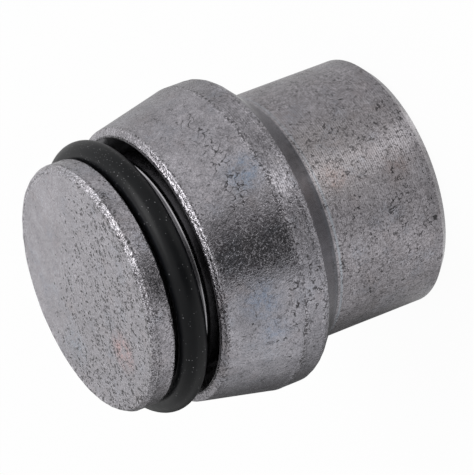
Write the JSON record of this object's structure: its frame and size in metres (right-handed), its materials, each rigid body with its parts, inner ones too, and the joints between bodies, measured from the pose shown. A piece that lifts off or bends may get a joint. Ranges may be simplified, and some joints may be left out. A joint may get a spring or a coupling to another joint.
{
  "type": "blanking plug",
  "caption": "Turned steel blanking plug with a tapered sealing nose, an O-ring in its groove, a sloped shoulder for a union nut and a plain shank.",
  "frame": {"origin": "centre of the flat end of the shank, on which the plug stands", "axes": "+Z along the axis, from the shank's end towards the nose"},
  "size_m": [0.0273, 0.0272, 0.0294],
  "materials": {
    "steel": "satin grey turned steel with fine dark pits",
    "seal_rubber": "smooth black rubber with a soft sheen"
  },
  "bodies": {
    "root": {"plug_body": "steel", "o_ring": "seal_rubber"}
  },
  "joints": []
}
